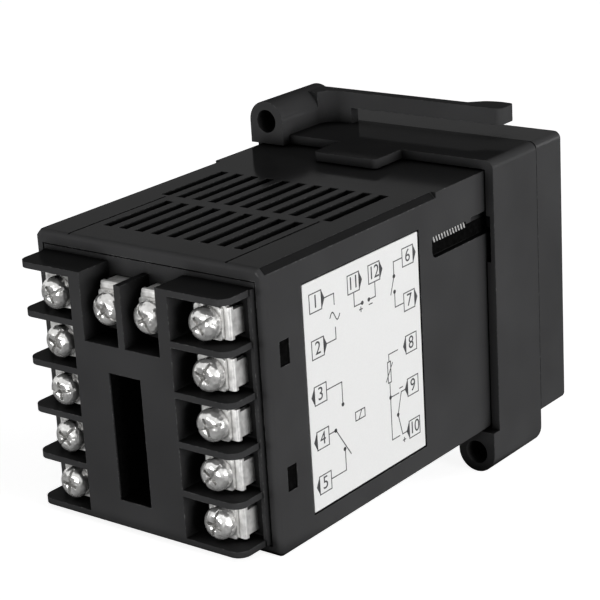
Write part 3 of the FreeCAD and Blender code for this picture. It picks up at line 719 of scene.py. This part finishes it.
def chamfer_strips(mesh, case_half, rim):
    """A thin strip of painted shade over each of the case's two stopped chamfers."""
    half_width = CHAMFER / math.sqrt(2) - CHAMFER_INSET
    outline = rectangle((rim - CHAMFER_END, -half_width), (rim - CHAMFER_START, half_width))
    middle = case_half - CHAMFER / 2
    along = Vector((0, 1, 0))
    for side in (-1, 1):
        across = Vector((1, 0, -side)).normalized()
        outward = Vector((side, 0, 1)).normalized()
        turn = Matrix((along, across, outward)).transposed().to_4x4()
        to_world = Matrix.Translation((side * middle, 0, middle)) @ turn
        add_prism(mesh, outline, -SHELL_SKIN, SHELL_SKIN, to_world)


class CONTROLLER_OT_recesses(Operator):
    """Paint shade into the windows, slots, centre recess and chamfers and paint highlights on the racks'
    teeth
    """
    bl_idname = "controller.recesses"
    bl_label = "Recesses"

    def execute(self, context):
        finish = context.scene.controller_finish
        hook_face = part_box("terminal_block")[1].x
        case_half = hook_face + HOOK_SHY
        slot_floor = case_half - SLOT_DEPTH
        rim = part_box("case")[1].y
        dark = bmesh.new()
        pale = bmesh.new()
        strips = bmesh.new()
        for side in (-1, 1):
            shade_windows(dark, hook_face, rim, side_frame(side, False))
            to_world = side_frame(side, side > 0)
            # painted shade: a dark skin on the slot's floor
            add_prism(dark, slot_outline(), slot_floor, slot_floor + SHADE_SKIN, to_world)
            # painted highlight: pale shells over the teeth's noses stand in for their glints
            cover_teeth(pale, case_half, rim, to_world)
        shade_centre_recess(dark)
        # painted shade: dark strips over the chamfers on the case's top edges
        chamfer_strips(strips, case_half, rim)
        chamfer_shade_color = shade(finish.case_color, CHAMFER_TONE)
        chamfer_shade_plastic = moulded_plastic("shaded_edge", chamfer_shade_color, finish.case_roughness,
                                       finish.grain_size, finish.edge_radius, finish.frame_gloss)
        pieces = (
            ("chamfer_shade", strips, chamfer_shade_plastic),
            ("recess_shade", dark, deep_shade()),
            ("rack_wear", pale, rubbed_plastic()),
        )
        for name, mesh, material in pieces:
            new_piece(name, finished_mesh(name, mesh), material, "housing")
        return {"FINISHED"}


# Label print

def coated_label(color):
    """White coated label stock with a faint paper tooth."""
    shader = Shader("label_stock")
    tooth = shader.clouded(0.3 * MM, [(0.3, shade(color, 0.97)), (0.7, color)], (0.45, 0.6), detail=4.0)
    shader.bump(tooth, "Fac", 0.004 * MM)
    shader.set(Specular_IOR_Level=0.3)
    return shader.material


def printed_ink(name, color):
    """Ink with slightly uneven cover."""
    shader = Shader(name)
    shader.clouded(0.2 * MM, [(0.35, color), (0.8, shade(color, 3.0))], (0.4, 0.6))
    return shader.material


class LabelDrawing:
    """Line work on the label: millimetres from its rear top corner, across then down."""

    DOT_RADIUS = 0.33
    ARROW_LENGTH = 0.75
    PLUS_REACH = 0.35
    MINUS_REACH = 0.4

    def __init__(self, line_width, ink_height):
        low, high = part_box("rear_label")
        corner = Vector((low.x, high.y, high.z))
        self.half_line = line_width / 2
        self.ink_height = ink_height
        self.mesh = bmesh.new()
        self.to_world = Matrix.Translation(corner) @ READING.to_4x4()

    def point(self, across, down):
        """A place on the label in metres."""
        return Vector((across * MM, -down * MM))

    def outline(self, corners):
        """A filled printed shape."""
        add_prism(self.mesh, [(c.x, c.y) for c in corners], 0.0, self.ink_height, self.to_world)

    def line(self, start, end):
        """A straight line with square ends."""
        a = self.point(*start)
        b = self.point(*end)
        along = (b - a).normalized() * self.half_line
        side = Vector((-along.y, along.x))
        self.outline([a - along - side, b + along - side, b + along + side, a - along + side])

    def path(self, *points):
        """Straight lines from point to point."""
        for start, end in zip(points, points[1:]):
            self.line(start, end)

    def dot(self, middle):
        """A round contact."""
        centre = self.point(*middle)
        points = circle(centre.x, centre.y, self.DOT_RADIUS * MM, 20)
        self.outline([Vector(point) for point in points])

    def box(self, middle, size):
        """The square frame of a terminal's number."""
        half = size / MM / 2
        x, y = middle
        self.path((x - half, y - half), (x + half, y - half), (x + half, y + half),
                  (x - half, y + half), (x - half, y - half))

    def arrow(self, middle, size, side):
        """A solid arrowhead on the left (-1) or right (1) of a number's frame."""
        half = size / MM / 2
        x, y = middle
        edge = x + side * half
        corners = [self.point(edge, y - half), self.point(edge, y + half),
                   self.point(edge + side * self.ARROW_LENGTH, y)]
        if side < 0:
            corners.reverse()
        self.outline(corners)

    def plus(self, middle):
        """A plus sign."""
        x, y = middle
        reach = self.PLUS_REACH
        self.line((x - reach, y), (x + reach, y))
        self.line((x, y - reach), (x, y + reach))

    def minus(self, middle):
        """A minus sign."""
        x, y = middle
        self.line((x - self.MINUS_REACH, y), (x + self.MINUS_REACH, y))

    def wave(self, middle, length, height):
        """One sine wave, the sign for alternating current."""
        x, y = middle
        steps = 24
        points = [(x + length * (step / steps - 0.5), y - height * math.sin(step * math.tau / steps))
                  for step in range(steps + 1)]
        self.path(*points)


def number_boxes():
    """Each terminal's number, the middle of its box and the side its arrow points to."""
    left = 2.95
    right = 26.5
    return [("1", left, 3.4, 1), ("2", left, 10.55, 1), ("3", left, 17.7, -1), ("4", left, 24.8, -1),
            ("5", left, 31.95, -1), ("6", right, 3.1, 1), ("7", right, 10.3, 1), ("8", right, 17.3, -1),
            ("9", right, 24.4, -1), ("10", right, 31.5, -1), ("11", 12.3, 3.3, 1), ("12", 17.6, 3.2, 1)]


def draw_circuits(drawing):
    """The wiring symbols between the number boxes."""
    # supply, terminals 1 and 2
    drawing.path((5.1, 3.4), (7.4, 3.4), (7.4, 5.1))
    drawing.path((5.1, 10.5), (7.4, 10.5), (7.4, 8.7))
    drawing.wave((7.4, 6.9), 2.4, 0.7)
    # relay output, terminals 3 to 5
    drawing.path((4.4, 17.6), (8.2, 17.6), (8.2, 21.2))
    drawing.dot((8.2, 21.2))
    drawing.path((4.4, 24.7), (6.1, 24.7))
    drawing.dot((6.1, 24.7))
    drawing.line((6.1, 24.6), (9.6, 29.7))
    drawing.dot((8.1, 28.4))
    drawing.path((8.2, 28.4), (8.2, 31.9), (4.4, 31.9))
    drawing.path((11.2, 23.6), (13.6, 23.6), (13.6, 25.0), (11.2, 25.0), (11.2, 23.6))
    drawing.line((12.0, 25.0), (12.8, 23.6))
    # switching output, terminals 11 and 12
    drawing.path((12.3, 4.8), (12.3, 7.0), (14.2, 7.0))
    drawing.dot((14.3, 7.0))
    drawing.path((17.7, 4.7), (17.7, 7.0), (16.0, 7.0))
    drawing.dot((16.0, 7.0))
    drawing.plus((13.9, 7.9))
    drawing.minus((16.4, 7.8))
    # alarm contact, terminals 6 and 7
    drawing.path((25.0, 3.0), (22.7, 3.0), (22.7, 5.3))
    drawing.dot((22.7, 5.3))
    drawing.line((22.7, 5.3), (21.7, 8.0))
    drawing.dot((22.7, 7.8))
    drawing.path((22.7, 7.8), (22.7, 10.3), (25.0, 10.3))
    # resistance sensor, terminals 8 to 10
    drawing.path((22.8, 17.3), (20.4, 17.3), (20.4, 18.5))
    drawing.path((20.0, 18.5), (20.8, 18.5), (20.8, 21.9), (20.0, 21.9), (20.0, 18.5))
    drawing.line((19.5, 21.5), (21.3, 18.9))
    drawing.path((20.4, 21.9), (20.4, 31.5))
    drawing.dot((20.4, 24.4))
    drawing.path((20.4, 24.4), (22.6, 24.4))
    drawing.path((23.3, 24.4), (24.5, 24.4))
    drawing.path((20.4, 31.5), (22.4, 31.5))
    drawing.path((23.2, 31.5), (24.5, 31.5))
    # thermocouple, terminals 9 and 10
    drawing.path((23.3, 24.4), (22.2, 27.9), (23.2, 31.5))
    drawing.dot((22.2, 27.9))
    drawing.minus((23.3, 23.7))
    drawing.plus((23.6, 32.6))


TWO_DIGIT_SPACING = 0.9


def label_number(text, middle, drawing, size, ink):
    """One printed number as a text object on the label's face."""
    curve = bpy.data.curves.new("number_" + text, "FONT")
    curve.body = text
    curve.size = size
    curve.align_x = "CENTER"
    curve.align_y = "CENTER"
    curve.extrude = drawing.ink_height / 2
    if len(text) > 1:
        curve.space_character = TWO_DIGIT_SPACING
    curve.materials.append(ink)
    number = bpy.data.objects.new("number_" + text, curve)
    bpy.context.scene.collection.objects.link(number)
    flat = drawing.point(*middle)
    spot = Matrix.Translation(Vector((flat.x, flat.y, drawing.ink_height / 2)))
    number.matrix_world = drawing.to_world @ spot
    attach(number, "housing")


class CONTROLLER_OT_label(Operator):
    """Dress the label and print its number boxes, wiring symbols and numbers"""
    bl_idname = "controller.label"
    bl_label = "Label"

    def execute(self, context):
        settings = context.scene.controller_print
        dress_slot("label_face", coated_label(settings.label_color))
        ink = printed_ink("label_ink", settings.ink_color)
        drawing = LabelDrawing(settings.line_width, settings.ink_height)
        for text, x, y, side in number_boxes():
            drawing.box((x, y), settings.box_size)
            drawing.arrow((x, y), settings.box_size, side)
            label_number(text, (x, y), drawing, settings.number_height, ink)
        draw_circuits(drawing)
        new_piece("label_print", finished_mesh("label_print", drawing.mesh), ink, "housing")
        return {"FINISHED"}


# Keys

SYMBOL_REACH = 0.8 * MM      # half the height of a symbol
SYMBOL_BACK = 0.7            # how far back an arrow's base lies, as a share of its reach
SYMBOL_DROP = 1.6 * MM       # from a key's lower edge to its symbol's middle


class CONTROLLER_OT_key_symbols(Operator):
    """Print a plain symbol under each key"""
    bl_idname = "controller.key_symbols"
    bl_label = "Key symbols"

    def execute(self, context):
        settings = context.scene.controller_print
        ink = printed_ink("panel_ink", settings.symbol_color)
        reach = SYMBOL_REACH
        back = reach * SYMBOL_BACK
        shapes = {
            "set": circle(0, 0, reach, 24),
            "shift": [(-reach, 0), (back, -reach), (back, reach)],
            "down": [(0, -reach), (reach, back), (-reach, back)],
            "up": [(0, reach), (-reach, -back), (reach, -back)],
        }
        panel_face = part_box("front_panel")[0].y
        mesh = bmesh.new()
        for key in KEY_NAMES:
            low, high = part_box("key_" + key)
            middle = Vector(((low.x + high.x) / 2, panel_face, low.z - SYMBOL_DROP))
            to_world = Matrix.Translation(middle) @ DISPLAY_FACING.to_4x4()
            add_prism(mesh, shapes[key], -SYMBOL_SKIN, SYMBOL_SKIN, to_world)
        new_piece("key_symbols", finished_mesh("key_symbols", mesh), ink, "housing")
        return {"FINISHED"}


# Screw threads

THREAD_PITCH = 0.5 * MM
THREAD_DEPTH = 0.07 * MM
THREAD_CORE = 1.5 * MM       # the shank's radius
THREAD_ROOT = THREAD_CORE - 0.02 * MM
THREAD_FLANK = 0.4           # from crest to root along the screw, as a share of the pitch
STEPS_PER_TURN = 24


def thread_mesh(name, axis, start, end):
    """A helical ridge round a screw's shank."""
    mesh = bmesh.new()
    steps = int((end - start) / THREAD_PITCH * STEPS_PER_TURN)
    crest = THREAD_CORE + THREAD_DEPTH
    profile = ((THREAD_ROOT, -THREAD_FLANK), (crest, 0.0), (THREAD_ROOT, THREAD_FLANK))
    rings = []
    for step in range(steps + 1):
        angle = step * math.tau / STEPS_PER_TURN
        rise = start + THREAD_PITCH * step / STEPS_PER_TURN
        outward = Vector((math.cos(angle), 0, math.sin(angle)))
        points = [outward * radius + Vector((0, rise + shift * THREAD_PITCH, 0))
                  for radius, shift in profile]
        rings.append([mesh.verts.new(axis + point) for point in points])
    count = len(profile)
    for here, after in zip(rings, rings[1:]):
        for index in range(count):
            other = (index + 1) % count
            mesh.faces.new([here[index], here[other], after[other], after[index]])
    mesh.faces.new(list(reversed(rings[0])))
    mesh.faces.new(rings[-1])
    return finished_mesh(name, mesh)


class CONTROLLER_OT_threads(Operator):
    """Wind the threads on the terminal screws"""
    bl_idname = "controller.threads"
    bl_label = "Screw threads"

    def execute(self, context):
        color = context.scene.controller_finish.plate_color
        nickel = plated_metal("thread_nickel", color, 0.2, 0.02 * MM, 1.0)
        for number in TERMINALS:
            low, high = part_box("screw_" + number)
            axis = Vector(((low.x + high.x) / 2, 0, (low.z + high.z) / 2))
            start = low.y + THREAD_PITCH / 2
            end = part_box("clamp_" + number)[0].y - THREAD_PITCH / 2
            name = "thread_" + number
            mesh = thread_mesh(name, axis, start, end)
            new_piece(name, mesh, nickel, "screw_body_" + number)
        return {"FINISHED"}


# Stage

BEZEL_LIP = 1.8 * MM         # how far the bezel stands out past the case's sides
RIM_RADIUS = 0.8 * MM        # of the case's rear rim
FLOOR_GAP = 0.05 * MM        # keeps the floor just clear of the frame
FLOOR_GLOW = 0.90            # the floor's own light, which only the camera sees
SENSOR_WIDTH = 36.0
NEAREST_SEEN = 0.01
AIM = (0, 0.035, 0)          # the point that the lamps face
# name, place, size, and the setting that holds the power
LAMPS = (
    ("key_lamp", (-0.78, 0.10, 0.04), (0.5, 0.2), "key_power"),
    ("fill_lamp", (0.10, 0.80, 0.0), (0.6, 0.05), "fill_power"),
    ("front_lamp", (-0.5, -0.75, 0.08), (0.5, 0.3), "front_power"),
    ("glint_lamp", (-0.35, 0.45, 0.6), (0.05, 0.05), "glint_power"),
)


def rest_plane():
    """A point and the slope of the surface that the instrument lies on."""
    mounts = frame["record"]["mounts"]
    hole = next(mount for mount in mounts if mount["name"] == "upper_boss_hole")
    boss_rear = hole["pos_m"][1] + hole["dims"]["length_mm"] * MM / 2
    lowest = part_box("mounting_frame")[0].z
    case_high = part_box("case")[1]
    rim_rear = case_high.y - RIM_RADIUS
    rim_low = BEZEL_LIP - case_high.z
    slope = math.atan2(rim_low - lowest, rim_rear - boss_rear)
    return Vector((0, boss_rear, lowest - FLOOR_GAP)), slope


def sloped_floor(reach, start, slope, bend):
    """A floor that slopes under the instrument and runs level from the bend on, behind its rear rim."""
    mesh = bmesh.new()
    rows = []
    for y in (-reach, bend, reach):
        z = start.z + (min(y, bend) - start.y) * math.tan(slope)
        rows.append([mesh.verts.new((x, y, z)) for x in (-reach, reach)])
    for near, far in zip(rows, rows[1:]):
        mesh.faces.new([near[0], near[1], far[1], far[0]])
    data = bpy.data.meshes.new("floor")
    mesh.to_mesh(data)
    mesh.free()
    return data


def world_light(level):
    """Even white light, plain white where the camera, gloss or glass looks past the object."""
    world = bpy.data.worlds.new("studio")
    world.use_nodes = True
    tree = world.node_tree
    tree.nodes.clear()
    output = tree.nodes.new("ShaderNodeOutputWorld")
    background = tree.nodes.new("ShaderNodeBackground")
    background.inputs["Color"].default_value = (1, 1, 1, 1)
    path = tree.nodes.new("ShaderNodeLightPath")
    seen = path.outputs["Is Camera Ray"]
    for name in ("Is Glossy Ray", "Is Transmission Ray"):
        larger = tree.nodes.new("ShaderNodeMath")
        larger.operation = "MAXIMUM"
        tree.links.new(seen, larger.inputs[0])
        tree.links.new(path.outputs[name], larger.inputs[1])
        seen = larger.outputs[0]
    strength = tree.nodes.new("ShaderNodeMapRange")
    strength.inputs["To Min"].default_value = level
    strength.inputs["To Max"].default_value = 1.0
    tree.links.new(seen, strength.inputs["Value"])
    tree.links.new(strength.outputs["Result"], background.inputs["Strength"])
    tree.links.new(background.outputs["Background"], output.inputs["Surface"])
    return world


def floor_finish(color):
    """Pale matt floor that fades to white and keeps the object's shadow."""
    shader = Shader("studio_floor")
    mottle = shader.noise(0.05)
    tint = shader.ramp(mottle, "Fac", [(0.3, shade(color, 0.995)), (0.7, color)])
    shader.paint(tint.outputs["Color"])
    shader.set(Roughness=0.9, Specular_IOR_Level=0.1)
    path = shader.add("ShaderNodeLightPath")
    glow = shader.add("ShaderNodeEmission", Strength=FLOOR_GLOW)
    both = shader.add("ShaderNodeAddShader")
    blank = shader.add("ShaderNodeEmission", Strength=0.0)
    pick = shader.add("ShaderNodeMixShader")
    shader.link(path, "Is Camera Ray", pick, "Fac")
    shader.link(blank, 0, pick, 1)
    shader.link(glow, 0, pick, 2)
    shader.link(shader.surface, 0, both, 0)
    shader.link(pick, 0, both, 1)
    shader.link(both, 0, shader.output, "Surface")
    return shader.material


def add_lamp(name, place, size, power):
    """A soft rectangular lamp that faces the object."""
    data = bpy.data.lights.new(name, "AREA")
    data.shape = "RECTANGLE"
    data.size, data.size_y = size
    data.energy = power
    lamp = bpy.data.objects.new(name, data)
    lamp.location = place
    lamp.rotation_euler = (Vector(AIM) - Vector(place)).to_track_quat("-Z", "Y").to_euler()
    bpy.context.scene.collection.objects.link(lamp)


def add_camera(settings):
    """The camera, which keeps no depth of field and no shift."""
    data = bpy.data.cameras.new("camera")
    data.lens = settings.lens
    data.sensor_width = SENSOR_WIDTH
    data.clip_start = NEAREST_SEEN
    camera = bpy.data.objects.new("camera", data)
    camera.location = settings.camera_place
    camera.rotation_euler = settings.camera_turn
    bpy.context.scene.collection.objects.link(camera)
    bpy.context.scene.camera = camera


class CONTROLLER_OT_stage(Operator):
    """Lay the floor, hang the lamps and set up the camera"""
    bl_idname = "controller.stage"
    bl_label = "Stage"

    def execute(self, context):
        settings = context.scene.controller_stage
        scene = context.scene
        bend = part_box("terminal_block")[1].y
        floor = bpy.data.objects.new("floor", sloped_floor(settings.floor_reach, *rest_plane(), bend))
        scene.collection.objects.link(floor)
        floor.data.materials.append(floor_finish(settings.floor_color))
        for name, place, size, power in LAMPS:
            add_lamp(name, place, size, getattr(settings, power))
        scene.world = world_light(settings.sky_level)
        scene.view_settings.view_transform = "Standard"
        add_camera(settings)
        return {"FINISHED"}


PIECE_OPERATORS = (
    CONTROLLER_OT_mouldings,
    CONTROLLER_OT_terminals,
    CONTROLLER_OT_electronics,
    CONTROLLER_OT_display,
    CONTROLLER_OT_recesses,
    CONTROLLER_OT_label,
    CONTROLLER_OT_key_symbols,
    CONTROLLER_OT_threads,
    CONTROLLER_OT_stage,
)


class CONTROLLER_PT_panel(Panel):
    """The controller's finishes and stage"""
    bl_idname = "CONTROLLER_PT_panel"
    bl_label = "Panel controller"
    bl_space_type = "VIEW_3D"
    bl_region_type = "UI"
    bl_category = "Controller"

    def draw(self, context):
        layout = self.layout
        for settings in (context.scene.controller_finish, context.scene.controller_print,
                         context.scene.controller_stage):
            column = layout.column(align=True)
            for name in settings.__annotations__:
                column.prop(settings, name)
        for operator in PIECE_OPERATORS:
            layout.operator(operator.bl_idname)


CLASSES = (FinishSettings, PrintSettings, StageSettings, *PIECE_OPERATORS, CONTROLLER_PT_panel)


def register():
    """Register the classes and hang the settings on the scene."""
    for item in CLASSES:
        bpy.utils.register_class(item)
    bpy.types.Scene.controller_finish = PointerProperty(type=FinishSettings)
    bpy.types.Scene.controller_print = PointerProperty(type=PrintSettings)
    bpy.types.Scene.controller_stage = PointerProperty(type=StageSettings)


def unregister():
    """Undo register."""
    del bpy.types.Scene.controller_stage
    del bpy.types.Scene.controller_print
    del bpy.types.Scene.controller_finish
    for item in reversed(CLASSES):
        bpy.utils.unregister_class(item)


def main():
    """Build the dressed controller."""
    register()
    bpy.ops.controller.mouldings()
    bpy.ops.controller.terminals()
    bpy.ops.controller.electronics()
    bpy.ops.controller.display()
    bpy.ops.controller.recesses()
    bpy.ops.controller.label()
    bpy.ops.controller.key_symbols()
    bpy.ops.controller.threads()
    bpy.ops.controller.stage()
    bpy.context.view_layer.update()


if __name__ == "__main__":
    main()
